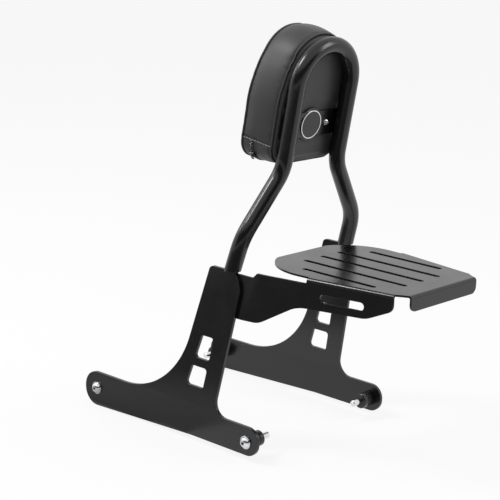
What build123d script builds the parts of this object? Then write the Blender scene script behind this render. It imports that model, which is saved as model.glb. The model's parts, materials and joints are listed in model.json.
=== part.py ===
"""Sissy bar with a backrest pad and a luggage rack, in millimetres.

The origin is midway between the four fixing bolts. The pad faces -Y, the front, +X is the bar's left and +Z up,
and the bar is the same on both sides of the YZ plane.
"""

import os
from math import atan2, cos, degrees, hypot, radians, sin, tan

from build123d import *

os.makedirs("parts", exist_ok=True)

# Hoop: one bent tube that leans back
tube_dia = 25
tube_wall = 2
hoop_tilt = 9.5
stub_tilt = 15.5
upright_half = 60.5
knee_y = 125
knee_z = 301
leg_rise = 96.5
hoop_rise = 282.5
knee_radius = 75
shoulder_radius = 60
crown_radius = 60

# Side plates: a lower arm that stands upright and an upper part that leans in
plate_thickness = 5
arm_half = 146
plate_lean = 4
bend_z = 31.3
bend_radius = 10
bolt_spacing = 330
front_margin = 28
rear_margin = 23
front_arm_top = 26.5
front_arm_bottom = -31
rear_arm_top = 24
rear_arm_bottom = -20.5
bottom_kink_y = 50
bottom_kink_radius = 150
front_end_radius = 27
rear_end_radius = 21
plate_top = 249.5
top_front_y = 67.5
front_rake = 15.4
top_front_radius = 8
front_sweep_radius = 144
rear_foot_y = 94.7
rear_rake = 10.4
rear_foot_radius = 22
top_rear_radius = 28

# Windows in the upper part of each plate
window_front_y = 34.5
window_front_rake = 17.7
window_rear_margin = 30
lower_window_bottom = 58.5
lower_window_height = 32
window_bar = 13
upper_window_height = 37
window_radius = 5

# Tongue of each plate inside the tube's end
tongue_length = 24
tongue_clearance = 0.3
tongue_tip_chamfer = 3

# Luggage rack: one folded sheet
rack_thickness = 3
rack_bend = 2
rack_top = 262
rack_front_y = 133
rack_rear_y = 400
rack_front_half = 57
rack_front_radius = 18
wing_inset = 16.5
wing_y = 163
wing_radius = 88
wing_round_share = 0.98
relief_depth = 3
relief_y = 239
relief_radius = 3
fold_start_y = 241
arm_rear_y = 379
arm_rear_half = 91.5
arm_edge_z = 254
arm_step_y = 157.5
arm_step = 8
arm_front_bottom = 179
arm_front_bend_y = 162
arm_front_bend_radius = 30
arm_waist_y = 226
arm_waist_z = 216.3
arm_waist_radius = 60
arm_tail_y = 338
arm_tail_z = 219.5
arm_tail_radius = 40
arm_rear_z = 238
arm_rear_radius = 12
tab_overlap = 30
tab_reach = 18
tab_bend_radius = 60
flange_half = 77.5
flange_height = 23
flange_radius = 10
slot_width = 9
slot_pitch = 39
long_slot_front_y = 171
long_slot_length = 191
short_slot_front_y = 202
short_slot_length = 135
arm_slot_y = 298.8
arm_slot_z = 236.2
arm_slot_length = 71
arm_slot_height = 12

# Pad bracket: flat bar with a round centre across the front of the uprights
bracket_rise = 157.5
bracket_thickness = 3
bracket_height = 38
bracket_overrun = 2
bracket_round = 51
bracket_blend = 8
bracket_end_radius = 4

# Badge on the bracket's centre
badge_dia = 43.6
badge_thickness = 1.5
bezel_width = 1.5
bezel_proud = 0.3
badge_clearance = 0.1

# Pad: sewn cushion with piping round its front and back
pad_bottom = 95.5
pad_bottom_half = 76
pad_bottom_radius = 30
pad_shoulder = 222
pad_shoulder_half = 78.5
pad_shoulder_radius = 140
pad_top = 294.5
pad_crest_half = 37
pad_crest_radius = 57
pad_back_rise = 4
pad_back_inset = 2.5
band_depth = 57
front_crown = 10
front_crown_inset = 16
front_edge_radius = 12
piping_dia = 3.2
piping_offset = 0.4
piping_clearance = 0.2

# Zip along the bottom panel of the pad
zip_width = 6
zip_thickness = 1.6
zip_rise = 34
zip_back = 38.5

# Board inside the cover
cover_thickness = 1.5
board_thickness = 9
board_margin = 10
board_clearance = 0.2

# Pad screws and T-nuts
screw_half = 35.5
screw_dia = 6
screw_length = 16
screw_head_dia = 10.5
screw_head_height = 3.3
screw_socket = 4
screw_socket_depth = 2
screw_head_flat = 2.6
screw_head_rim = 0.5
screw_tip_chamfer = 0.6
screw_clearance = 0.3
nut_flange_dia = 19
nut_flange_thickness = 1.5
nut_barrel_dia = 8
nut_barrel_length = 7.5
thread_clearance = 0.1

# Fixing bolts, washers and spacers
bolt_dia = 10
bolt_length = 50
bolt_head_dia = 17.5
bolt_head_height = 5.5
bolt_socket = 6
bolt_socket_depth = 3.2
bolt_head_flat = 4
bolt_head_rim = 0.8
bolt_tip_chamfer = 1
bolt_clearance = 0.25
washer_dia = 20
washer_thickness = 2
spacer_dia = 24
spacer_length = 24
spacer_groove = 1.5
spacer_groove_depth = 1
spacer_groove_gap = 6
spacer_chamfer = 0.8


# Hoop plane: its X is the bar's X, its Y runs up the hoop and its Z points to the pad
hoop_plane = Plane(
    origin=(0, knee_y, knee_z),
    x_dir=(1, 0, 0),
    z_dir=(0, -cos(radians(hoop_tilt)), sin(radians(hoop_tilt))),
)

# Leaning sheet of a plate: the middle of its thickness at a height above the bend
lean_slope = tan(radians(plate_lean))
half_sheet = plate_thickness / 2 / cos(radians(plate_lean))


def plate_middle(z):
    """Distance of the leaning plate's middle from the bar's middle."""
    return arm_half - (z - bend_z) * lean_slope


def rear_edge(z):
    """Rear edge of the upper part of a plate."""
    return rear_foot_y + (z - rear_arm_top) * tan(radians(rear_rake))


def save(piece, name):
    """Label a finished piece and write it."""
    piece.label = name
    export_step(piece, f"parts/{name}.step")


# Hoop tube
tube_radius = tube_dia / 2
bore_radius = tube_radius - tube_wall
knee_half = plate_middle(knee_z)
stub_drop = knee_z - plate_top
stub_end_y = knee_y - stub_drop * tan(radians(stub_tilt))
sweep_end_z = plate_top - tube_dia
sweep_end_y = knee_y - (knee_z - sweep_end_z) * tan(radians(stub_tilt))
hoop_corners = [
    (plate_middle(sweep_end_z), sweep_end_y, sweep_end_z),
    (knee_half, knee_y, knee_z),
    hoop_plane.from_local_coords((upright_half, leg_rise, 0)),
    hoop_plane.from_local_coords((upright_half, hoop_rise, 0)),
]
hoop_corners = [Vector(point) for point in hoop_corners]
other_corners = [Vector(-point.X, point.Y, point.Z) for point in reversed(hoop_corners)]
hoop_radii = [knee_radius, shoulder_radius, crown_radius]

with BuildPart() as hoop_tube:
    with BuildLine() as hoop_line:
        FilletPolyline(hoop_corners + other_corners, radius=hoop_radii + hoop_radii[::-1])
    hoop_path = hoop_line.wire()
    with BuildSketch(Plane(origin=hoop_path @ 0, z_dir=hoop_path % 0)):
        Circle(tube_radius)
        Circle(bore_radius, mode=Mode.SUBTRACT)
    sweep(path=hoop_path)
    split(bisect_by=Plane.XY.offset(plate_top), keep=Keep.TOP)
save(hoop_tube.part, "hoop_tube")

# Side plates: a bent sheet, cut to its outline as seen from the side
bolt_ys = {"front": -bolt_spacing / 2, "rear": bolt_spacing / 2}
front_end_y = bolt_ys["front"] - front_margin
rear_end_y = bolt_ys["rear"] + rear_margin
sweep_foot_y = top_front_y - (plate_top - front_arm_top) * tan(radians(front_rake))
tongue_tip = plate_top + tongue_length * cos(radians(stub_tilt))
tongue_tip_y = stub_end_y + tongue_length * sin(radians(stub_tilt))
tongue_width = 2 * (bore_radius**2 - (plate_thickness / 2 + tongue_clearance) ** 2) ** 0.5 - 2 * tongue_clearance
tongue_root = top_rear_radius
plate_hole_radius = bolt_dia / 2 + bolt_clearance

plate_corners = {
    (front_end_y, front_arm_bottom): front_end_radius,
    (bottom_kink_y, rear_arm_bottom): bottom_kink_radius,
    (rear_end_y, rear_arm_bottom): rear_end_radius,
    (rear_end_y, rear_arm_top): rear_end_radius,
    (rear_foot_y, rear_arm_top): rear_foot_radius,
    (rear_edge(plate_top), plate_top): top_rear_radius,
    (top_front_y, plate_top): top_front_radius,
    (sweep_foot_y, front_arm_top): front_sweep_radius,
    (front_end_y, front_arm_top): front_end_radius,
}


def window_corners(bottom, height):
    """Corners of a plate's window, which follows the rear edge at its back."""
    corners = []
    for z in (bottom, bottom + height):
        front = window_front_y + (z - lower_window_bottom) * tan(radians(window_front_rake))
        rear = rear_edge(z) - window_rear_margin
        corners.append([(front, z), (rear, z)])
    return corners[0] + corners[1][::-1]


upper_window_bottom = lower_window_bottom + lower_window_height + window_bar
sheet_reach = bolt_spacing
sheet_top = tongue_tip + tube_dia
sheet_bottom = front_arm_bottom - tube_dia

with BuildPart() as left_plate:
    with BuildSketch(Plane.XZ.offset(-sheet_reach)):
        with BuildLine() as sheet_line:
            FilletPolyline(
                (arm_half, sheet_bottom),
                (arm_half, bend_z),
                (plate_middle(sheet_top), sheet_top),
                radius=bend_radius,
            )
        trace(sheet_line.wire(), line_width=plate_thickness)
    extrude(amount=2 * sheet_reach)
    with BuildSketch(Plane.YZ) as plate_outline:
        with BuildLine():
            FilletPolyline(list(plate_corners), radius=list(plate_corners.values()), close=True)
        make_face()
        with BuildSketch(mode=Mode.PRIVATE) as tongue:
            Rectangle(tongue_width, tongue_length + tongue_root, align=(Align.CENTER, Align.MAX))
            chamfer(tongue.vertices().group_by(Axis.Y)[-1], length=tongue_tip_chamfer)
        add(tongue.sketch.rotate(Axis.Z, -stub_tilt).translate((tongue_tip_y, tongue_tip, 0)))
        for bottom, height in (
            (lower_window_bottom, lower_window_height),
            (upper_window_bottom, upper_window_height),
        ):
            with BuildLine():
                FilletPolyline(window_corners(bottom, height), radius=window_radius, close=True)
            make_face(mode=Mode.SUBTRACT)
        with Locations(*[(y, 0) for y in bolt_ys.values()]):
            Circle(plate_hole_radius, mode=Mode.SUBTRACT)
    extrude(amount=arm_half + tube_dia, mode=Mode.INTERSECT)
save(left_plate.part, "left_side_plate")
save(mirror(left_plate.part, about=Plane.YZ), "right_side_plate")


# Luggage rack: one arm with its fold, run along the taper, and a tab bent from it that lies flat on the plate
fold_outer = rack_bend + rack_thickness
arm_front_top = arm_edge_z - arm_step
tab_z = (arm_front_bottom + arm_front_top) / 2
tab_x = plate_middle(tab_z) - half_sheet
tab_bend_y = rear_edge(tab_z) + tab_reach
arm_front_y = rear_edge(tab_z) - tab_overlap
taper_slope = (tab_x - arm_rear_half) / (arm_rear_y - tab_bend_y)


def arm_face(y):
    """Outer face of the left arm."""
    return arm_rear_half + (arm_rear_y - y) * taper_slope


def flat_side(y):
    """Where the rack's flat top ends and its side fold begins."""
    return arm_face(y) - fold_outer


arm_corners = {
    (arm_front_y, arm_front_top): 0,
    (arm_step_y - arm_step, arm_front_top): rack_thickness,
    (arm_step_y, arm_edge_z): rack_thickness,
    (fold_start_y, arm_edge_z): rack_thickness,
    (fold_start_y, rack_top + rack_thickness): 0,
    (arm_rear_y, rack_top + rack_thickness): 0,
    (arm_rear_y, arm_rear_z): arm_rear_radius,
    (arm_tail_y, arm_tail_z): arm_tail_radius,
    (arm_waist_y, arm_waist_z): arm_waist_radius,
    (arm_front_bend_y, arm_front_bottom): arm_front_bend_radius,
    (arm_front_y, arm_front_bottom): 0,
}
fold_mid_x = arm_face(fold_start_y) - rack_thickness / 2
fold_mid_z = rack_top - rack_thickness / 2

arm_low_z = arm_front_bottom - rack_thickness
plate_side = arm_half + tube_dia
bend_line = Axis((tab_x, tab_bend_y, tab_z), (-lean_slope * taper_slope, lean_slope, taper_slope))


def arm_room(inset):
    """Room between the bar's middle and a face of the left arm and tab, with the bend rounded."""
    with BuildPart() as room:
        with BuildSketch(Plane.XY.offset(arm_low_z)):
            with BuildLine():
                Polyline(
                    (0, arm_front_y),
                    (arm_face(arm_front_y) - inset, arm_front_y),
                    (arm_rear_half - inset, arm_rear_y),
                    (0, arm_rear_y),
                    close=True,
                )
            make_face()
        extrude(amount=rack_top - fold_outer - arm_low_z)
        with BuildSketch(Plane.XZ):
            with BuildLine():
                Polyline(
                    (plate_middle(0) - half_sheet - inset, 0),
                    (plate_middle(sheet_top) - half_sheet - inset, sheet_top),
                    (plate_side, sheet_top),
                    (plate_side, 0),
                    close=True,
                )
            make_face()
        extrude(amount=rack_rear_y, both=True, mode=Mode.SUBTRACT)
        fillet(room.edges().filter_by(bend_line), radius=tab_bend_radius - inset)
    return room.part


with BuildPart() as rack_arm:
    add(arm_room(0))
    add(arm_room(rack_thickness), mode=Mode.SUBTRACT)
    with BuildSketch(Plane.XZ.offset(-fold_start_y)):
        with BuildLine() as fold_line:
            FilletPolyline(
                (fold_mid_x - 2 * fold_outer, fold_mid_z),
                (fold_mid_x, fold_mid_z),
                (fold_mid_x, arm_low_z),
                radius=rack_bend + rack_thickness / 2,
            )
        trace(fold_line.wire(), line_width=rack_thickness)
    fold_run = Vector(-taper_slope, 1, 0) * (arm_rear_y - fold_start_y)
    extrude(amount=fold_run.length, dir=fold_run.normalized())
    with BuildSketch(Plane.YZ):
        with BuildLine():
            FilletPolyline(list(arm_corners), radius=list(arm_corners.values()), close=True)
        make_face()
        with Locations((arm_slot_y, arm_slot_z)):
            SlotOverall(arm_slot_length, arm_slot_height, mode=Mode.SUBTRACT)
    extrude(amount=plate_side, mode=Mode.INTERSECT)

flat_rear = rack_rear_y - fold_outer
wing_half = arm_face(wing_y) - wing_inset
relief_half = flat_side(relief_y) - relief_depth

# The wing's rounding takes at most a set share of the straight edge in front of it
wing_rise = atan2(wing_y - rack_front_y, wing_half - rack_front_half)
wing_turn = atan2(relief_y - wing_y, relief_half - wing_half) - wing_rise
wing_edge = hypot(wing_half - rack_front_half, wing_y - rack_front_y) - rack_front_radius * tan(wing_rise / 2)
wing_round = min(wing_radius, wing_round_share * wing_edge / tan(wing_turn / 2))
top_corners = {
    (0, rack_front_y): 0,
    (rack_front_half, rack_front_y): rack_front_radius,
    (wing_half, wing_y): wing_round,
    (relief_half, relief_y): relief_radius,
    (flat_side(fold_start_y), fold_start_y): 0,
    (flat_side(arm_rear_y), arm_rear_y): 0,
    (flange_half, flat_rear): 0,
    (0, flat_rear): 0,
}
flange_mid_y = rack_rear_y - rack_thickness / 2

with BuildPart() as luggage_rack:
    with BuildSketch(Plane.YZ):
        with BuildLine() as flange_line:
            FilletPolyline(
                (flange_mid_y - 2 * fold_outer, fold_mid_z),
                (flange_mid_y, fold_mid_z),
                (flange_mid_y, rack_top - flange_height),
                radius=rack_bend + rack_thickness / 2,
            )
        trace(flange_line.wire(), line_width=rack_thickness)
    extrude(amount=flange_half, both=True)
    flange_tips = luggage_rack.edges().filter_by(Axis.Y).group_by(Axis.Z)[0]
    fillet(flange_tips, radius=flange_radius)
    with BuildSketch(Plane.XY.offset(rack_top - rack_thickness)):
        with BuildLine():
            FilletPolyline(list(top_corners), radius=list(top_corners.values()), close=True)
        make_face()
        mirror(about=Plane.YZ)
    extrude(amount=rack_thickness)
    add(rack_arm.part)
    add(mirror(rack_arm.part, about=Plane.YZ, mode=Mode.PRIVATE))
    with BuildSketch(Plane.XY.offset(rack_top)):
        for step in range(-2, 3):
            outermost = abs(step) == 2
            length = short_slot_length if outermost else long_slot_length
            front = short_slot_front_y if outermost else long_slot_front_y
            with Locations((step * slot_pitch, front + length / 2)):
                SlotOverall(length, slot_width, rotation=90)
    extrude(amount=-rack_thickness, mode=Mode.SUBTRACT)
save(luggage_rack.part, "luggage_rack")

# Pad bracket
bracket_half = upright_half + bracket_overrun
bracket_plane = hoop_plane.offset(tube_radius)
screw_spots = {"left": screw_half, "right": -screw_half}

with BuildPart() as pad_bracket:
    with BuildSketch(bracket_plane) as bracket_outline:
        with Locations((0, bracket_rise)):
            RectangleRounded(2 * bracket_half, bracket_height, bracket_end_radius)
            Circle(bracket_round / 2)
        waist = bracket_outline.vertices().group_by(lambda corner: round(abs(corner.X), 2))[0]
        fillet(waist, radius=bracket_blend)
        with Locations(*[(x, bracket_rise) for x in screw_spots.values()]):
            Circle(screw_dia / 2 + screw_clearance, mode=Mode.SUBTRACT)
    extrude(amount=bracket_thickness)
save(pad_bracket.part, "pad_bracket")

# Badge: blank disc in a bright ring
bezel_bore = badge_dia / 2 - bezel_width

with BuildPart() as badge_disc:
    with BuildSketch(bracket_plane):
        with Locations((0, bracket_rise)):
            Circle(bezel_bore - badge_clearance)
    extrude(amount=-badge_thickness)
save(badge_disc.part, "badge_disc")

with BuildPart() as badge_bezel:
    with BuildSketch(bracket_plane):
        with Locations((0, bracket_rise)):
            Circle(badge_dia / 2)
            Circle(bezel_bore, mode=Mode.SUBTRACT)
    extrude(amount=-badge_thickness - bezel_proud)
save(badge_bezel.part, "badge_bezel")

# Pad: its back is a little narrower than its front, and its bottom rises to the back
pad_back = tube_radius + bracket_thickness
back_seam = pad_back + piping_dia / 2
front_seam = back_seam + band_depth
board_back = pad_back + cover_thickness
board_front = board_back + board_thickness
zip_seam = pad_back + zip_back


def pad_corners(seam):
    """Corners of the left half of the pad's outline at a distance from the hoop, from the bottom up."""
    share = (front_seam - seam) / band_depth
    inset = pad_back_inset * share
    return [
        (pad_bottom_half - inset, pad_bottom + pad_back_rise * share),
        (pad_shoulder_half - inset, pad_shoulder),
        (pad_crest_half, pad_top),
    ]


def pad_outline(plane, seam, outset):
    """Wire on a plane of the pad's outline at a distance from the hoop, moved out by an amount."""
    corners = pad_corners(seam)
    radii = [pad_bottom_radius, pad_shoulder_radius, pad_crest_radius]
    others = [(-x, rise) for x, rise in reversed(corners)]
    with BuildLine(plane) as line:
        FilletPolyline(corners + others, radius=radii + radii[::-1], close=True)
        if outset:
            offset(amount=outset, mode=Mode.REPLACE)
    return line.wire()


def piping_loop(seam, radius):
    """Cord of a radius along the pad's outline at a seam."""
    path = pad_outline(hoop_plane.offset(seam), seam, piping_offset)
    with BuildPart() as loop:
        with BuildSketch(Plane(origin=path @ 0, z_dir=path % 0)):
            Circle(radius)
        sweep(path=path)
    return loop.part


def zip_strip(margin):
    """Strip of the zip round the pad's bottom, larger all round by a margin."""
    foot, shoulder = pad_corners(zip_seam)[:2]
    slope = (shoulder[0] - foot[0]) / (shoulder[1] - foot[1])
    end = (foot[0] + zip_rise * slope, foot[1] + zip_rise)
    with BuildLine(hoop_plane.offset(zip_seam)) as line:
        FilletPolyline(end, foot, (-foot[0], foot[1]), (-end[0], end[1]), radius=pad_bottom_radius)
    path = line.wire()
    with BuildPart() as strip:
        with BuildSketch(Plane(origin=path @ 0, x_dir=hoop_plane.z_dir, z_dir=path % 0)):
            Rectangle(zip_width + 2 * margin, zip_thickness + 2 * margin)
        sweep(path=path)
    return strip.part


save(piping_loop(back_seam, piping_dia / 2), "rear_piping")
save(piping_loop(front_seam, piping_dia / 2), "front_piping")
save(zip_strip(0), "pad_zip")

with BuildPart() as pad_cushion:
    for seam in (back_seam, front_seam):
        with BuildSketch(hoop_plane.offset(seam)):
            make_face(pad_outline(Plane.XY, seam, 0))
    loft(ruled=True)
    with BuildSketch(hoop_plane.offset(back_seam)):
        make_face(pad_outline(Plane.XY, back_seam, 0))
    extrude(amount=pad_back - back_seam)
    with BuildSketch(hoop_plane.offset(front_seam)):
        make_face(pad_outline(Plane.XY, front_seam, 0))
    extrude(amount=front_crown, taper=degrees(atan2(front_crown_inset, front_crown)))
    front_face = pad_cushion.faces().sort_by(Axis(hoop_plane.origin, hoop_plane.z_dir))[-1]
    fillet(front_face.edges(), radius=front_edge_radius)
    add(piping_loop(back_seam, piping_dia / 2 + piping_clearance), mode=Mode.SUBTRACT)
    add(piping_loop(front_seam, piping_dia / 2 + piping_clearance), mode=Mode.SUBTRACT)
    add(zip_strip(piping_clearance), mode=Mode.SUBTRACT)
    with BuildSketch(hoop_plane.offset(board_back - board_clearance)):
        make_face(pad_outline(Plane.XY, back_seam, board_clearance - board_margin))
    extrude(amount=board_thickness + 2 * board_clearance, mode=Mode.SUBTRACT)
    with BuildSketch(hoop_plane.offset(board_front)):
        with Locations(*[(x, bracket_rise) for x in screw_spots.values()]):
            Circle(nut_flange_dia / 2 + board_clearance)
    extrude(amount=nut_flange_thickness + board_clearance, mode=Mode.SUBTRACT)
    with BuildSketch(hoop_plane.offset(pad_back)):
        with Locations(*[(x, bracket_rise) for x in screw_spots.values()]):
            Circle(screw_dia / 2 + screw_clearance)
    extrude(amount=screw_length, mode=Mode.SUBTRACT)
save(pad_cushion.part, "pad_cushion")

# Board inside the cover, with a hole for each T-nut
with BuildPart() as pad_board:
    with BuildSketch(hoop_plane.offset(board_back)):
        make_face(pad_outline(Plane.XY, back_seam, -board_margin))
        with Locations(*[(x, bracket_rise) for x in screw_spots.values()]):
            Circle(nut_barrel_dia / 2 + board_clearance, mode=Mode.SUBTRACT)
    extrude(amount=board_thickness)
save(pad_board.part, "pad_board")


def button_bolt(plane, dia, length, head, rim, flat, height, socket, depth, tip):
    """Button-head bolt that points along a plane's Z, with the underside of its head on the plane."""
    profile = Plane(origin=plane.origin, x_dir=plane.x_dir, z_dir=plane.y_dir)
    with BuildPart() as bolt:
        with BuildSketch(profile):
            with BuildLine():
                Polyline((0, height), (0, 0), (head / 2, 0), (head / 2, rim))
                RadiusArc((head / 2, rim), (flat, height), -head / 2)
                Line((flat, height), (0, height))
            make_face()
        revolve(axis=Axis(plane.origin, plane.z_dir))
        with BuildSketch(plane):
            Circle(dia / 2)
        extrude(amount=length)
        chamfer(bolt.faces().sort_by(Axis(plane.origin, plane.z_dir))[-1].edges(), length=tip)
        with BuildSketch(plane.offset(-height)):
            RegularPolygon(socket / 2, 6, major_radius=False)
        extrude(amount=depth, mode=Mode.SUBTRACT)
    return bolt.part


# Pad screws and T-nuts
for side, x in screw_spots.items():
    screw_plane = Plane(
        origin=bracket_plane.from_local_coords((x, bracket_rise, 0)),
        x_dir=hoop_plane.x_dir,
        z_dir=hoop_plane.z_dir,
    )
    screw = button_bolt(
        screw_plane,
        screw_dia,
        screw_length,
        screw_head_dia,
        screw_head_rim,
        screw_head_flat,
        screw_head_height,
        screw_socket,
        screw_socket_depth,
        screw_tip_chamfer,
    )
    save(screw, f"{side}_pad_screw")

    nut_plane = screw_plane.offset(board_front - tube_radius)
    with BuildPart() as t_nut:
        with BuildSketch(nut_plane):
            Circle(nut_flange_dia / 2)
        extrude(amount=nut_flange_thickness)
        with BuildSketch(nut_plane):
            Circle(nut_barrel_dia / 2)
        extrude(amount=-nut_barrel_length)
        with BuildSketch(nut_plane):
            Circle(screw_dia / 2 + thread_clearance)
        extrude(amount=board_thickness, both=True, mode=Mode.SUBTRACT)
    save(t_nut.part, f"{side}_t_nut")

# Fixing bolts, washers and spacers at the four corners
for side, sign in {"left": 1, "right": -1}.items():
    for end, y in bolt_ys.items():
        seat_plane = Plane(
            origin=(sign * (arm_half + plate_thickness / 2), y, 0),
            x_dir=(0, 1, 0),
            z_dir=(-sign, 0, 0),
        )
        bolt = button_bolt(
            seat_plane.offset(-washer_thickness),
            bolt_dia,
            bolt_length,
            bolt_head_dia,
            bolt_head_rim,
            bolt_head_flat,
            bolt_head_height,
            bolt_socket,
            bolt_socket_depth,
            bolt_tip_chamfer,
        )
        save(bolt, f"{side}_{end}_bolt")

        with BuildPart() as washer:
            with BuildSketch(seat_plane.offset(-washer_thickness)):
                Circle(washer_dia / 2)
                Circle(plate_hole_radius, mode=Mode.SUBTRACT)
            extrude(amount=washer_thickness)
        save(washer.part, f"{side}_{end}_washer")

        with BuildPart() as spacer:
            with BuildSketch(seat_plane.offset(plate_thickness)):
                Circle(spacer_dia / 2)
                Circle(plate_hole_radius, mode=Mode.SUBTRACT)
            extrude(amount=spacer_length)
            rims = spacer.edges().filter_by(GeomType.CIRCLE).group_by(SortBy.RADIUS)[-1]
            chamfer(rims, length=spacer_chamfer)
            for step in (-1, 1):
                middle = plate_thickness + spacer_length / 2 + step * spacer_groove_gap / 2
                with BuildSketch(seat_plane.offset(middle - spacer_groove / 2)):
                    Circle(spacer_dia / 2)
                    Circle(spacer_dia / 2 - spacer_groove_depth, mode=Mode.SUBTRACT)
                extrude(amount=spacer_groove, mode=Mode.SUBTRACT)
        save(spacer.part, f"{side}_{end}_spacer")
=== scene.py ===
"""Sissy bar with its backrest pad and luggage rack: finishes, sewn pad, floor, light and camera."""

import json
from math import cos, exp, pi, radians, sin, tan

import bmesh
import bpy
from mathutils import Matrix, Vector, noise
from mathutils.bvhtree import BVHTree
from mathutils.kdtree import KDTree


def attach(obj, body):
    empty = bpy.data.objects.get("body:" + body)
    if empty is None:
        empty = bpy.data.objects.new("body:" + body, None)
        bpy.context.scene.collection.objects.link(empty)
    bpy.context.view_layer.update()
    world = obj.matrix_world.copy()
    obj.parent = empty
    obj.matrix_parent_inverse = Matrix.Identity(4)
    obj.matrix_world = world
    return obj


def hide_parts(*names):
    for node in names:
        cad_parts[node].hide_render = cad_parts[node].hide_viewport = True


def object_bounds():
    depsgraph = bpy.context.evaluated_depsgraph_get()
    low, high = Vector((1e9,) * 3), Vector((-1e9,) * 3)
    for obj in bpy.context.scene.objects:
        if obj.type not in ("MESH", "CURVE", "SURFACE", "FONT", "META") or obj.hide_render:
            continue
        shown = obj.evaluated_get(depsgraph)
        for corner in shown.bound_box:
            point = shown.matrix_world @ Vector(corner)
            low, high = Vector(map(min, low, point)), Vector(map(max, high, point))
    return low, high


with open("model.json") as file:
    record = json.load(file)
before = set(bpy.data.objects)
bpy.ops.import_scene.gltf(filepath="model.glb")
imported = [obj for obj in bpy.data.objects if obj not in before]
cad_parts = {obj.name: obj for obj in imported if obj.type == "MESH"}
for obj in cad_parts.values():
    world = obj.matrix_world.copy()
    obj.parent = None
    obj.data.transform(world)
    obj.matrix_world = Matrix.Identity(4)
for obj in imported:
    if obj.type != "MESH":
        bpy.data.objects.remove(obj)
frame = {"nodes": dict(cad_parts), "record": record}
cad_low, cad_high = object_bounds()
nodes = frame["nodes"]
scene = bpy.context.scene
mm = 0.001
# A micrometre, within which two places are one, and a length that keeps a division off zero
same_place = 1e-6
no_length = 1e-9

# Pad sizes, as in the part's source
knee_y = 125 * mm
knee_z = 301 * mm
hoop_tilt = radians(9.5)
pad_bottom = 95.5 * mm
pad_bottom_half = 76 * mm
pad_bottom_radius = 30 * mm
pad_shoulder = 222 * mm
pad_shoulder_half = 78.5 * mm
pad_shoulder_radius = 140 * mm
pad_top = 294.5 * mm
pad_crest_half = 37 * mm
pad_crest_radius = 57 * mm
pad_back_rise = 4 * mm
pad_back_inset = 2.5 * mm
bracket_rise = 157.5 * mm
bracket_half = 62.5 * mm
bracket_height = 38 * mm
bracket_round = 51 * mm
back_seam = 17.1 * mm
front_seam = 74.1 * mm
front_crown = 10 * mm
front_crown_inset = 16 * mm
piping_dia = 3.2 * mm
zip_seam = 54 * mm
zip_top = 129.5 * mm

# Cut of the cover: wider than the solid by an ease, with a seam across each side and a border round the back
cover_ease = 2 * mm
cross_seam = 131 * mm
pad_back = 15.6 * mm
back_border = 7 * mm

# Cloth: its mesh, how far from each seam the stitching holds it, and how far the foam can push it
cloth_mesh = 4.2 * mm
cloth_steps = 20
front_hold = 13 * mm
back_hold = 7 * mm
back_hold_depth = 1.5 * mm
cross_hold = 8 * mm
cross_hold_share = 0.85
swell_limit = 5 * mm
even_from = 7 * mm
even_rounds = 3

# Forms of the sewn cover: dips and puckers along the seams, how far the painted crease shade reaches beside
# them, and swells between them
seam_dip = 0.9 * mm
seam_dip_width = 2.4 * mm
seam_pucker = 0.35 * mm
seam_pucker_reach = 16 * mm
seam_pucker_size = 11 * mm
# Painted shade: width of the dark band painted beside a seam, and how far it fades out
seam_painted_shade_width = 1.4 * mm
seam_painted_shade_fade = 1.2 * mm
cross_dip = 0.9 * mm
cross_dip_width = 1.8 * mm
cross_pucker = 0.4 * mm
cross_pucker_reach = 12 * mm
cross_pucker_size = 7 * mm
# Painted shade: width of the dark band painted across the cross seam
cross_painted_shade_width = 1.6 * mm
back_panel_depth = 0.5 * mm
back_swell = 2.2 * mm
back_roll = 3.2 * mm
back_roll_width = 11 * mm
bracket_ease = 16 * mm
top_swell = 4 * mm
top_swell_reach = 48 * mm

# Pad frame: X across the bar, Y up the hoop, Z forward
pad_place = Matrix.Translation((0, knee_y, knee_z)) @ Matrix.Rotation(pi / 2 - hoop_tilt, 4, "X")


def linear(code):
    """Linear colour of an sRGB hex code."""
    shares = [int(code[i : i + 2], 16) / 255 for i in (1, 3, 5)]
    return [*(c / 12.92 if c <= 0.04045 else ((c + 0.055) / 1.055) ** 2.4 for c in shares), 1]


def add_node(tree, kind, attributes=None, inputs=None):
    """Add a node, set its attributes, and link or set its inputs."""
    node = tree.nodes.new(kind)
    for name, value in (attributes or {}).items():
        setattr(node, name, value)
    for name, value in (inputs or {}).items():
        if isinstance(value, bpy.types.NodeSocket):
            tree.links.new(value, node.inputs[name])
        else:
            node.inputs[name].default_value = value
    return node


def new_finish(name, settings):
    """Material with its shader's constant sockets set, its node tree, and its shader."""
    material = bpy.data.materials.new(name)
    material.use_nodes = True
    tree = material.node_tree
    shader = tree.nodes["Principled BSDF"]
    for socket, value in settings.items():
        shader.inputs[socket].default_value = value
    return material, tree, shader


def vary(tree, shader, pattern, tones, roughness, span=(0.3, 0.7)):
    """Let tone and roughness follow a pattern, roughness over a span of its values, and return the tone."""
    tone = add_node(tree, "ShaderNodeValToRGB", None, {"Fac": pattern})
    for element, code in zip(tone.color_ramp.elements, tones):
        element.color = linear(code)
    limits = {"From Min": span[0], "From Max": span[1], "To Min": roughness[0], "To Max": roughness[1]}
    gloss = add_node(tree, "ShaderNodeMapRange", None, {"Value": pattern, **limits})
    tree.links.new(tone.outputs["Color"], shader.inputs["Base Color"])
    tree.links.new(gloss.outputs["Result"], shader.inputs["Roughness"])
    return tone.outputs["Color"]


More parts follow.
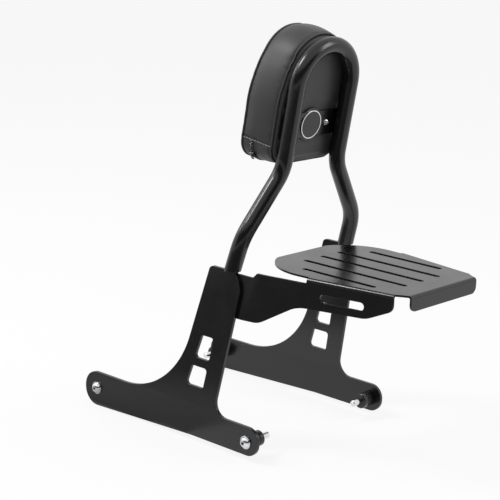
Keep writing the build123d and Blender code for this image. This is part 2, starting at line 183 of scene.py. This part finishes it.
def black_powder_coat():
    """Baked black powder on steel: a smooth, faintly rippled film, a mirror at low angles."""
    material, tree, shader = new_finish("black_powder_coat", {"IOR": 1.5})
    place = add_node(tree, "ShaderNodeTexCoord").outputs["Object"]
    film = add_node(tree, "ShaderNodeTexNoise", None, {"Vector": place, "Scale": 1 / (45 * mm), "Detail": 3})
    vary(tree, shader, film.outputs["Fac"], tones=("#0c0c0d", "#141415"), roughness=(0.2, 0.27))
    # Orange peel of the flowed powder, about 2 mm from crest to crest
    peel = add_node(tree, "ShaderNodeTexNoise", None, {"Vector": place, "Scale": 1 / (2 * mm), "Detail": 1})
    # Edges that the powder rounds off, so that they catch a thin line of light
    eased = add_node(tree, "ShaderNodeBevel", {"samples": 8}, {"Radius": 0.6 * mm})
    bump = add_node(
        tree,
        "ShaderNodeBump",
        None,
        {
            "Strength": 0.04,
            "Distance": 0.05 * mm,
            "Height": peel.outputs["Fac"],
            "Normal": eased.outputs["Normal"],
        },
    )
    tree.links.new(bump.outputs["Normal"], shader.inputs["Normal"])
    return material


def black_leatherette(name, grain_size, depth, roughness):
    """Embossed PVC upholstery: fine pebbled grain under a satin skin that greys where it catches light."""
    settings = {"IOR": 1.5, "Sheen Weight": 0.08, "Sheen Roughness": 0.4}
    material, tree, shader = new_finish(name, settings)
    place = add_node(tree, "ShaderNodeTexCoord").outputs["Object"]
    handled = add_node(
        tree, "ShaderNodeTexNoise", None, {"Vector": place, "Scale": 1 / (40 * mm), "Detail": 4}
    )
    tone = vary(tree, shader, handled.outputs["Fac"], tones=("#2c2c2e", "#38383a"), roughness=roughness)
    pebbles = add_node(
        tree,
        "ShaderNodeTexVoronoi",
        {"feature": "SMOOTH_F1"},
        {"Vector": place, "Scale": 1 / grain_size, "Smoothness": 0.4},
    )
    pores = add_node(
        tree, "ShaderNodeTexNoise", None, {"Vector": place, "Scale": 2.5 / grain_size, "Detail": 2}
    )
    relief = add_node(
        tree,
        "ShaderNodeMix",
        {"data_type": "FLOAT"},
        {"Factor": 0.3, "A": pebbles.outputs["Distance"], "B": pores.outputs["Fac"]},
    )
    bump = add_node(
        tree,
        "ShaderNodeBump",
        {"invert": True},
        {"Strength": 0.35, "Distance": depth, "Height": relief.outputs["Result"]},
    )
    # Painted shade in the creases along the seams: the skin's tone is darkened towards near black where the
    # folds would shade it
    painted_crease_shade = add_node(tree, "ShaderNodeAttribute", {"attribute_name": "painted_crease_shade"})
    shade = add_node(
        tree,
        "ShaderNodeMix",
        {"data_type": "RGBA"},
        {"Factor": painted_crease_shade.outputs["Fac"], 6: tone, 7: linear("#080809")},
    )
    tree.links.new(shade.outputs[2], shader.inputs["Base Color"])
    tree.links.new(bump.outputs["Normal"], shader.inputs["Normal"])
    return material


def metal(name, tones, roughness, grit, ripple):
    """Bare or plated metal: its gloss and tone drift a little, over a fine finish."""
    material, tree, shader = new_finish(name, {"Metallic": 1})
    place = add_node(tree, "ShaderNodeTexCoord").outputs["Object"]
    drift = add_node(tree, "ShaderNodeTexNoise", None, {"Vector": place, "Scale": 1 / (6 * mm), "Detail": 4})
    vary(tree, shader, drift.outputs["Fac"], tones, roughness)
    fine = add_node(tree, "ShaderNodeTexNoise", None, {"Vector": place, "Scale": 1 / grit, "Detail": 2})
    eased = add_node(tree, "ShaderNodeBevel", {"samples": 8}, {"Radius": 0.35 * mm})
    bump = add_node(
        tree,
        "ShaderNodeBump",
        None,
        {
            "Strength": 0.1,
            "Distance": ripple,
            "Height": fine.outputs["Fac"],
            "Normal": eased.outputs["Normal"],
        },
    )
    tree.links.new(bump.outputs["Normal"], shader.inputs["Normal"])
    return material


def black_acrylic():
    """Polished black acrylic: deep gloss with the faint waviness of a moulded face."""
    material, tree, shader = new_finish("black_acrylic", {"IOR": 1.49})
    place = add_node(tree, "ShaderNodeTexCoord").outputs["Object"]
    wave = add_node(tree, "ShaderNodeTexNoise", None, {"Vector": place, "Scale": 1 / (14 * mm), "Detail": 1})
    vary(tree, shader, wave.outputs["Fac"], tones=("#101011", "#18181a"), roughness=(0.12, 0.2))
    bump = add_node(
        tree, "ShaderNodeBump", None, {"Strength": 0.08, "Distance": 0.2 * mm, "Height": wave.outputs["Fac"]}
    )
    tree.links.new(bump.outputs["Normal"], shader.inputs["Normal"])
    return material


def yarn(name, tones, pitch, depth):
    """Spun polyester: matt ribs of yarn, with painted shade darkening the gaps between them."""
    material, tree, shader = new_finish(name, {"IOR": 1.45, "Sheen Weight": 0.2, "Sheen Roughness": 0.5})
    place = add_node(tree, "ShaderNodeTexCoord").outputs["Object"]
    # At scale 1 the bands turn about 20 radians in each unit of length
    band_turn = 20
    ribs = add_node(
        tree,
        "ShaderNodeTexWave",
        {"wave_type": "BANDS", "bands_direction": "DIAGONAL"},
        {"Vector": place, "Scale": 2 * pi / band_turn / pitch, "Distortion": 1.5, "Detail": 2},
    )
    # Painted shade: the tone follows the ribs' relief and is darker in the gaps, where shade would fall
    vary(tree, shader, ribs.outputs["Fac"], tones, roughness=(0.8, 0.65), span=(0, 1))
    bump = add_node(
        tree, "ShaderNodeBump", None, {"Strength": 0.4, "Distance": depth, "Height": ribs.outputs["Fac"]}
    )
    tree.links.new(bump.outputs["Normal"], shader.inputs["Normal"])
    return material


def birch_plywood():
    """Bare birch ply: pale wood with long grain."""
    material, tree, shader = new_finish("birch_plywood", {"IOR": 1.45})
    place = add_node(tree, "ShaderNodeTexCoord").outputs["Object"]
    along = add_node(tree, "ShaderNodeMapping", None, {"Vector": place, "Scale": (1, 0.12, 0.12)})
    grain = add_node(
        tree,
        "ShaderNodeTexNoise",
        None,
        {"Vector": along.outputs["Vector"], "Scale": 1 / (1.5 * mm), "Detail": 5},
    )
    vary(tree, shader, grain.outputs["Fac"], tones=("#b58f5f", "#d9bd90"), roughness=(0.7, 0.55), span=(0, 1))
    bump = add_node(
        tree, "ShaderNodeBump", None, {"Strength": 0.2, "Distance": 0.1 * mm, "Height": grain.outputs["Fac"]}
    )
    tree.links.new(bump.outputs["Normal"], shader.inputs["Normal"])
    return material


paint = black_powder_coat()
cover_skin = black_leatherette("black_leatherette", 1.5 * mm, depth=0.12 * mm, roughness=(0.46, 0.56))
piping_skin = black_leatherette("black_leatherette_piping", 0.9 * mm, depth=0.05 * mm, roughness=(0.5, 0.6))
# Polished chrome plate: bright, hard mirror with hardly any texture
chrome = metal("chrome_plated_steel", ("#d3d5d8", "#e6e7e9"), (0.08, 0.14), grit=0.8 * mm, ripple=0.01 * mm)
# Zinc plate: grey and softly mottled
zinc = metal("zinc_plated_steel", ("#8f9296", "#b9bcc0"), (0.3, 0.45), grit=0.5 * mm, ripple=0.05 * mm)
# Black nickel plate: dark, smoky and shiny on the crests
black_nickel = metal(
    "black_nickel_brass", ("#3c3d40", "#66676b"), (0.22, 0.34), grit=0.5 * mm, ripple=0.02 * mm
)
acrylic = black_acrylic()
grey_thread = yarn("grey_polyester_thread", ("#8a8a8c", "#c9c9ca"), pitch=0.35 * mm, depth=0.08 * mm)
zip_tape = yarn("black_polyester_tape", ("#0e0e0f", "#1f1f21"), pitch=0.7 * mm, depth=0.15 * mm)
plywood = birch_plywood()

finish_of_slot = {
    "black_paint": paint,
    "leatherette": cover_skin,
    "bright_metal": chrome,
    "zip_tape": zip_tape,
    "plywood": plywood,
    "plain_steel": zinc,
    "badge_black": acrylic,
}
for subpart in frame["record"]["subparts"]:
    node = nodes[subpart["node"]]
    node.data.materials.clear()
    node.data.materials.append(finish_of_slot[subpart["material_slot"]])


def mesh_data(name, mesh):
    """Mesh data of a finished bmesh."""
    data = bpy.data.meshes.new(name)
    mesh.to_mesh(data)
    mesh.free()
    return data


def add_object(name, data):
    """Object of its data, linked into the scene."""
    thing = bpy.data.objects.new(name, data)
    scene.collection.objects.link(thing)
    return thing


def evaluated_mesh(thing):
    """Mesh that an object's modifiers or curve settings make."""
    bpy.context.view_layer.update()
    return bpy.data.meshes.new_from_object(thing.evaluated_get(bpy.context.evaluated_depsgraph_get()))


def apply_modifiers(piece):
    """Give a piece the mesh that its modifiers make, and return it."""
    data = evaluated_mesh(piece)
    piece.modifiers.clear()
    piece.data = data
    return data


def new_piece(name, mesh, finish, smooth=True):
    """Object of a finished bmesh in the pad's frame, set in place with its finish."""
    data = mesh_data(name, mesh)
    data.transform(pad_place)
    data.polygons.foreach_set("use_smooth", [smooth] * len(data.polygons))
    data.materials.append(finish)
    piece = add_object(name, data)
    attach(piece, "root")
    return piece


def pad_corners(seam):
    """Corners of the pad's outline at a seam, and their radii, once round from the left foot."""
    share = (front_seam - seam) / (front_seam - back_seam)
    inset = pad_back_inset * share - cover_ease
    left = [
        (pad_bottom_half - inset, pad_bottom + pad_back_rise * share, pad_bottom_radius),
        (pad_shoulder_half - inset, pad_shoulder, pad_shoulder_radius),
        (pad_crest_half + cover_ease, pad_top, pad_crest_radius),
    ]
    return left + [(-x, rise, radius) for x, rise, radius in reversed(left)]


def add_outline(mesh, seam):
    """Add the pad's rounded outline at a seam as a face and return it."""
    corners = pad_corners(seam)
    points = [mesh.verts.new((x, rise, seam)) for x, rise, radius in corners]
    mesh.faces.new(points)
    for i, (x, rise, radius) in enumerate(corners):
        here = Vector((x, rise))
        to_last = Vector(corners[i - 1][:2]) - here
        to_next = Vector(corners[(i + 1) % len(corners)][:2]) - here
        reach = radius / tan(to_last.angle(to_next) / 2)
        bmesh.ops.bevel(
            mesh,
            geom=[points[i]],
            offset=reach,
            offset_type="ABSOLUTE",
            segments=14,
            profile=0.5,
            affect="VERTICES",
            material=-1,
        )
    at_seam = [f for f in mesh.faces if abs(f.verts[0].co.z - seam) < same_place]
    return max(at_seam, key=lambda f: len(f.verts))


def outline_points(seam, gap):
    """Points along the pad's outline at a seam, a gap apart, once round from the foot of its left side."""
    mesh = bmesh.new()
    face = add_outline(mesh, seam)
    ring = [v.co.copy() for v in face.verts]
    mesh.free()
    start = min(range(len(ring)), key=lambda i: (round(ring[i].y / same_place), -ring[i].x))
    ring = ring[start:] + ring[:start]
    if ring[1].y < ring[-1].y - same_place:
        ring = [ring[0]] + ring[:0:-1]
    points = []
    left_over = 0
    for here, there in zip(ring, ring[1:] + ring[:1]):
        run = (there - here).length
        along = left_over
        while along < run:
            points.append(here.lerp(there, along / run))
            along += gap
        left_over = along - run
    return points


def near(distance, reach):
    """1 on a line, falling smoothly to 0 at a reach from it."""
    share = min(1, max(0, distance / reach))
    return 1 - share * share * (3 - 2 * share)


# Sewn pad: the cover starts as flat panels between its seams, and the foam pushes the panels out
foam = bmesh.new()
back_face = add_outline(foam, back_seam)
front_face = add_outline(foam, front_seam)
rims = [e for f in (back_face, front_face) for e in f.edges]
bmesh.ops.bridge_loops(foam, edges=rims)
bmesh.ops.recalc_face_normals(foam, faces=foam.faces)
bmesh.ops.inset_region(foam, faces=[front_face], thickness=front_crown_inset, depth=front_crown)
bmesh.ops.inset_region(foam, faces=[back_face], thickness=back_border, depth=back_seam - pad_back)
pad_cover = add_object("pad_cover", mesh_data("pad_cover", foam))
remesh = pad_cover.modifiers.new("even_cloth", "REMESH")
remesh.mode = "VOXEL"
remesh.voxel_size = cloth_mesh
even = apply_modifiers(pad_cover)

seam_gap = 1 * mm
seam_points = outline_points(back_seam, seam_gap) + outline_points(front_seam, seam_gap)
seam_tree = KDTree(len(seam_points))
for i, point in enumerate(seam_points):
    seam_tree.insert(point, i)
seam_tree.balance()

start = [v.co.copy() for v in even.vertices]
sewn = pad_cover.vertex_groups.new(name="sewn")
for i, point in enumerate(start):
    to_seam = seam_tree.find(point)[2]
    held = near(to_seam, front_hold if point.z > zip_seam else back_hold)
    held = max(held, cross_hold_share * near(abs(point.y - cross_seam), cross_hold))
    if point.z < back_seam + back_hold_depth:
        held = 1
    sewn.add([i], held, "REPLACE")

cloth = pad_cover.modifiers.new("foam_pressure", "CLOTH")
cloth.settings.quality = 6
cloth.settings.mass = 0.3
cloth.settings.tension_stiffness = 20
cloth.settings.compression_stiffness = 20
cloth.settings.shrink_min = -0.02
cloth.settings.use_pressure = True
cloth.settings.uniform_pressure_force = 200
cloth.settings.vertex_group_mass = "sewn"
cloth.settings.effector_weights.gravity = 0
for step in range(1, cloth_steps + 1):
    scene.frame_set(step)
swollen = apply_modifiers(pad_cover)
scene.frame_set(1)
for vertex, was in zip(swollen.vertices, start):
    move = vertex.co - was
    if move.length > no_length:
        vertex.co = was + move * (swell_limit * (1 - exp(-move.length / swell_limit)) / move.length)

# The foam evens out small dents in the cloth away from the seams
skin = bmesh.new()
skin.from_mesh(pad_cover.data)
open_cloth = [v for v in skin.verts if seam_tree.find(v.co)[2] > even_from]
for step in range(even_rounds):
    bmesh.ops.smooth_vert(
        skin, verts=open_cloth, factor=0.5, use_axis_x=True, use_axis_y=True, use_axis_z=True
    )
skin.to_mesh(pad_cover.data)
skin.free()

subdivision = pad_cover.modifiers.new("finer_cloth", "SUBSURF")
subdivision.levels = 2
subdivision.render_levels = 2
finer = apply_modifiers(pad_cover)


def from_bracket(point):
    """Distance in the pad's plane from the bracket that the back panel is pressed against."""
    beside = max(0, abs(point.x) - bracket_half)
    above = max(0, abs(point.y - bracket_rise) - bracket_height / 2)
    from_round = Vector((point.x, point.y - bracket_rise)).length - bracket_round / 2
    return max(0, min(Vector((beside, above)).length, from_round))


# Seams pull the cover in, it puckers a little beside them, and the foam crowns the band's top.
# The back swells round the bracket and rolls over its edge beside the tube
painted_crease_shades = []
for vertex, normal in zip(finer.vertices, [n.vector.copy() for n in finer.vertex_normals]):
    point = vertex.co.copy()
    to_seam = seam_tree.find(point)[2]
    dip = seam_dip * exp(-((to_seam / seam_dip_width) ** 2))
    # Painted shade: the crease beside a seam is painted dark, fully within a width and fading beyond it
    painted_crease_shade = near(to_seam - seam_painted_shade_width, seam_painted_shade_fade)
    if point.z < back_seam + back_panel_depth:
        free = 1 - near(from_bracket(point), bracket_ease)
        swell = back_swell * (1 - near(to_seam, back_roll_width)) * free
        roll = back_roll * sin(pi * min(1, to_seam / back_roll_width))
        vertex.co = point - Vector((0, 0, swell + roll)) - normal * dip
    else:
        pucker = seam_pucker * near(to_seam, seam_pucker_reach) * noise.noise(point / seam_pucker_size)
        if point.z < front_seam and abs(point.x) > pad_crest_half:
            across = abs(point.y - cross_seam)
            dip += cross_dip * exp(-((across / cross_dip_width) ** 2))
            pucker += cross_pucker * near(across, cross_pucker_reach) * noise.noise(point / cross_pucker_size)
            # Painted shade beside the cross seam as well
            painted_crease_shade = max(painted_crease_shade, near(across, cross_painted_shade_width))
        share = min(1, (point.z - back_seam) / (front_seam - back_seam))
        crown = top_swell * sin(pi * share) * near(pad_top - point.y, top_swell_reach)
        vertex.co = point + normal * (pucker + crown - dip)
    painted_crease_shades.append(painted_crease_shade)
# The painted crease shade is kept on the cover, and its material darkens the base colour by it
finer.attributes.new("painted_crease_shade", "FLOAT", "POINT").data.foreach_set("value", painted_crease_shades)
finer.transform(pad_place)
finer.polygons.foreach_set("use_smooth", [True] * len(finer.polygons))
finer.materials.clear()
finer.materials.append(cover_skin)
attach(pad_cover, "root")
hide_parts("pad_cushion")

unplace = pad_place.inverted()
cover_tree = BVHTree.FromPolygons(
    [unplace @ v.co for v in finer.vertices], [list(p.vertices) for p in finer.polygons]
)
needle_length = 60 * mm


def on_cover(point, inwards):
    """Place on the cover that a needle meets, and the way the cover faces there."""
    return cover_tree.ray_cast(point - inwards * needle_length, inwards)[:2]


def set_on_cover(place, along, normal, size):
    """Place, turn and size of a unit shape that lies along the cover."""
    turn = Matrix([along, normal.cross(along), normal]).transposed().to_4x4()
    return Matrix.Translation(place) @ turn @ Matrix.Diagonal((*size, 1))


# Piping: a covered cord that lies on the cover along a seam, sunk a little into it
piping_gap = 4 * mm
piping_offset = 0.9 * mm
piping_lift = 1.3 * mm


def add_piping(name, seam, replaced):
    """Covered cord sewn in along a seam."""
    points = outline_points(seam, piping_gap)
    line = bpy.data.curves.new(name + "_line", "CURVE")
    line.dimensions = "3D"
    line.bevel_depth = piping_dia / 2
    line.bevel_resolution = 3
    spline = line.splines.new("POLY")
    spline.points.add(len(points) - 1)
    spline.use_cyclic_u = True
    middle = Vector((0, (pad_bottom + pad_top) / 2, seam))
    for i, point in enumerate(points):
        along = points[(i + 1) % len(points)] - points[i - 1]
        out = Vector((along.y, -along.x, 0)).normalized()
        if out.dot(point - middle) < 0:
            out = -out
        laid = point + out * piping_offset
        sewn_on = cover_tree.find_nearest(laid)[0]
        lift = laid - sewn_on
        spline.points[i].co = [*(sewn_on + lift * min(1, piping_lift / max(lift.length, no_length))), 1]
    cord = add_object(name + "_line", line)
    mesh = bmesh.new()
    mesh.from_mesh(evaluated_mesh(cord))
    bpy.data.objects.remove(cord)
    piece = new_piece(name, mesh, piping_skin)
    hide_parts(replaced)


add_piping("front_welt", front_seam, "front_piping")
add_piping("rear_welt", back_seam, "rear_piping")

# Stitches across the side bands, just under the cross seam
stitch_count = 10
stitch_length = 4.4 * mm
stitch_pitch = 5.4 * mm
stitch_dia = 0.8 * mm
stitch_margin = 4 * mm
stitch_drop = 2.2 * mm
stitch_size = (stitch_dia / 2, stitch_length / 2, stitch_dia / 2)
forward = Vector((0, 0, 1))
stitches = bmesh.new()
for side in (1, -1):
    for i in range(stitch_count):
        depth = back_seam + stitch_margin + i * stitch_pitch
        beside = Vector((side * pad_shoulder_half, cross_seam - stitch_drop, depth))
        place, normal = on_cover(beside, Vector((-side, 0, 0)))
        sideways = normal.cross(forward).normalized()
        bmesh.ops.create_uvsphere(
            stitches,
            u_segments=8,
            v_segments=6,
            radius=1,
            matrix=set_on_cover(place, sideways, normal, stitch_size),
        )
new_piece("cross_seam_stitches", stitches, grey_thread)

# Zip round the bottom of the pad: tape, teeth and slider
zip_pitch = 2.8 * mm
zip_line = [p for p in outline_points(zip_seam, zip_pitch) if p.y < zip_top]
middle = Vector((0, (pad_bottom + pad_top) / 2, zip_seam))
zip_line.sort(key=lambda p: (p - middle).xy.angle_signed(Vector((0, -1))))
zip_places = [on_cover(point, (middle - point).normalized()) for point in zip_line]


def zip_heading(i):
    """The way the zip runs at one of its places, along the cover."""
    normal = zip_places[i][1]
    along = zip_places[min(i + 1, len(zip_places) - 1)][0] - zip_places[max(i - 1, 0)][0]
    return (along - normal * along.dot(normal)).normalized()


def add_block(mesh, place, along, normal, size, ease, segments):
    """Add a block with eased edges, lying along the cover."""
    corners = bmesh.ops.create_cube(mesh, size=1, matrix=set_on_cover(place, along, normal, size))["verts"]
    edges = {e for v in corners for e in v.link_edges}
    bmesh.ops.bevel(
        mesh, geom=list(edges), offset=ease, segments=segments, profile=0.5, affect="EDGES", material=-1
    )


tape_half = 4 * mm
tape_lift = 0.35 * mm
tape_thickness = 0.6 * mm
tape = bmesh.new()
edge = None
for place, normal in zip_places:
    ends = [place + normal * tape_lift + Vector((0, 0, side * tape_half)) for side in (-1, 1)]
    if edge is None:
        edge = tape.edges.new([tape.verts.new(end) for end in ends])
        continue
    grown = bmesh.ops.extrude_edge_only(tape, edges=[edge])["geom"]
    edge = next(item for item in grown if isinstance(item, bmesh.types.BMEdge))
    for vertex, end in zip(sorted(edge.verts, key=lambda v: v.co.z), ends):
        vertex.co = end
bmesh.ops.solidify(tape, geom=tape.faces, thickness=tape_thickness)
bmesh.ops.recalc_face_normals(tape, faces=tape.faces)
tape_piece = new_piece("zip_tape", tape, zip_tape, smooth=False)
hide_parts("pad_zip")

# Teeth, set to one side of the line and the other by turns: length along the zip, width and height
tooth_size = (0.62 * zip_pitch, 3.6 * mm, 1.6 * mm)
tooth_ease = 0.35 * mm
tooth_lift = 1 * mm
tooth_shift = 1.1 * mm
teeth = bmesh.new()
for i, (place, normal) in enumerate(zip_places):
    along = zip_heading(i)
    shift = tooth_shift if i % 2 else -tooth_shift
    seat = place + normal * tooth_lift + normal.cross(along) * shift
    add_block(teeth, seat, along, normal, tooth_size, tooth_ease, segments=1)
new_piece("zip_teeth", teeth, black_nickel, smooth=False)

# Slider near the zip's left end, with its pull hanging along the tape.
# Each part has its size, how far down the tape it sits, and its height over the cover
slider_drop = 22 * mm
slider_ease = 0.5 * mm
slider_parts = {
    "body": ((9 * mm, 8 * mm, 3.4 * mm), 0, 2.2 * mm),
    "bridge": ((5 * mm, 2.4 * mm, 2.2 * mm), 0, 4.6 * mm),
    "pull": ((8 * mm, 4.6 * mm, 1.2 * mm), 3.5 * mm, 5.2 * mm),
}
left_places = [i for i, (place, normal) in enumerate(zip_places) if place.x > 0]
slider_at = min(left_places, key=lambda i: abs(zip_places[i][0].y - (zip_top - slider_drop)))
place, normal = zip_places[slider_at]
down = zip_heading(slider_at)
if down.y > 0:
    down = -down
slider = bmesh.new()
for size, drop, height in slider_parts.values():
    add_block(slider, place + down * drop + normal * height, down, normal, size, slider_ease, segments=2)
new_piece("zip_slider", slider, black_nickel, smooth=False)


def seen_plainly(tree):
    """1 for rays that show the surroundings themselves: to the camera, in a reflection, or through glass."""
    path = add_node(tree, "ShaderNodeLightPath")
    mirrored = add_node(
        tree,
        "ShaderNodeMath",
        {"operation": "MAXIMUM"},
        {0: path.outputs["Is Camera Ray"], 1: path.outputs["Is Glossy Ray"]},
    )
    return add_node(
        tree,
        "ShaderNodeMath",
        {"operation": "MAXIMUM"},
        {0: mirrored.outputs["Value"], 1: path.outputs["Is Transmission Ray"]},
    ).outputs["Value"]


# White paper: matt, lit by the lamps but for a plain share of white, so that the shadow stays
plain_share = 0.85
paper, tree, shader = new_finish("white_paper", {"Base Color": linear("#f1f1f0"), "Roughness": 0.9})
white = add_node(tree, "ShaderNodeEmission", None, {"Color": (1, 1, 1, 1), "Strength": 1})
share = add_node(tree, "ShaderNodeMath", {"operation": "MULTIPLY"}, {0: seen_plainly(tree), 1: plain_share})
mixed = add_node(
    tree,
    "ShaderNodeMixShader",
    None,
    {0: share.outputs["Value"], 1: shader.outputs["BSDF"], 2: white.outputs["Emission"]},
)
tree.links.new(mixed.outputs["Shader"], tree.nodes["Material Output"].inputs["Surface"])

# Floor under the bar's lowest point
floor_half = 15
floor_mesh = bmesh.new()
bmesh.ops.create_grid(
    floor_mesh,
    x_segments=1,
    y_segments=1,
    size=floor_half,
    matrix=Matrix.Translation((0, 0, cad_low.z)),
)
floor = add_object("floor", mesh_data("floor", floor_mesh))
floor.data.materials.append(paper)

# Surroundings: white where they are seen, and a plain level of soft light on the object
world = bpy.data.worlds.new("white_studio")
scene.world = world
world.use_nodes = True
tree = world.node_tree
shown = tree.nodes["Background"]
shown.inputs["Color"].default_value = linear("#fbfbfb")
shown.inputs["Strength"].default_value = 1
soft = add_node(tree, "ShaderNodeBackground", None, {"Color": (1, 1, 1, 1), "Strength": 0.55})
mixed = add_node(
    tree,
    "ShaderNodeMixShader",
    None,
    {0: seen_plainly(tree), 1: soft.outputs["Background"], 2: shown.outputs["Background"]},
)
tree.links.new(mixed.outputs["Shader"], tree.nodes["World Output"].inputs["Surface"])

# Cloths and a card round the bar that only reflections show: black velvet that gives back almost no light,
# grey felt that keeps the low faces dull, and pale card that lights them from near by
velvet = new_finish("black_velvet", {"Base Color": linear("#161616"), "Roughness": 1})[0]
felt = new_finish("grey_felt", {"Base Color": linear("#565656"), "Roughness": 1})[0]
card = new_finish("pale_card", {"Base Color": linear("#c4c4c4"), "Roughness": 1})[0]
drape_lift = 4 * mm


def add_drape(name, profile, first, last, finish):
    """Drape between two azimuths, from a profile of distances from the origin and heights above the floor."""
    mesh = bmesh.new()
    facing = radians(first)
    line = [
        mesh.verts.new((away * sin(facing), -away * cos(facing), cad_low.z + height))
        for away, height in profile
    ]
    edges = [mesh.edges.new(pair) for pair in zip(line, line[1:])]
    bmesh.ops.spin(
        mesh,
        geom=line + edges,
        cent=(0, 0, 0),
        axis=(0, 0, 1),
        angle=radians(last - first),
        steps=24,
    )
    drape = add_object(name, mesh_data(name, mesh))
    drape.data.materials.append(finish)
    drape.visible_camera = False
    drape.visible_diffuse = False
    drape.visible_shadow = False
    drape.visible_transmission = False


add_drape("wall_drape", [(3.2, 0.285), (3.2, 1.935)], first=62, last=202, finish=velvet)
add_drape("floor_drape", [(0.45, drape_lift), (2.4, drape_lift)], first=25, last=170, finish=felt)
add_drape("near_card", [(0.16, drape_lift), (0.45, drape_lift)], first=25, last=100, finish=card)
add_drape("low_drape", [(1.4, drape_lift), (1.45, 0.1)], first=20, last=80, finish=velvet)

# Lamps, all turned to the middle of the bar
lamp_aim = Vector((0, 0.1, 0.35))


def add_softbox(name, place, width, height, power):
    """Rectangular soft lamp."""
    data = bpy.data.lights.new(name, "AREA")
    data.shape = "RECTANGLE"
    data.size = width
    data.size_y = height
    data.energy = power
    lamp = add_object(name, data)
    lamp.location = place
    lamp.rotation_mode = "QUATERNION"
    lamp.rotation_quaternion = (lamp_aim - Vector(place)).to_track_quat("-Z", "Y")


add_softbox("key", (1.6, -1.1, 2.65), width=0.6, height=1.0, power=45)
add_softbox("side", (1.05, -2.1, 1.6), width=0.3, height=0.9, power=9)
add_softbox("rim", (-1.2, 1.9, 1.7), width=0.8, height=1.4, power=18)

# Camera at the photograph's viewing angle
camera_data = bpy.data.cameras.new("camera")
camera_data.sensor_width = 36
camera_data.lens = 111.24
camera = add_object("camera", camera_data)
camera_place = (1.7390, 1.6161, 0.8345)
azimuth = radians(132.46)
elevation = radians(14.09)
roll = radians(1.86)
camera.matrix_world = (
    Matrix.Translation(camera_place)
    @ Matrix.Rotation(azimuth, 4, "Z")
    @ Matrix.Rotation(pi / 2 - elevation, 4, "X")
    @ Matrix.Rotation(roll, 4, "Z")
)
scene.camera = camera
scene.view_settings.view_transform = "Standard"
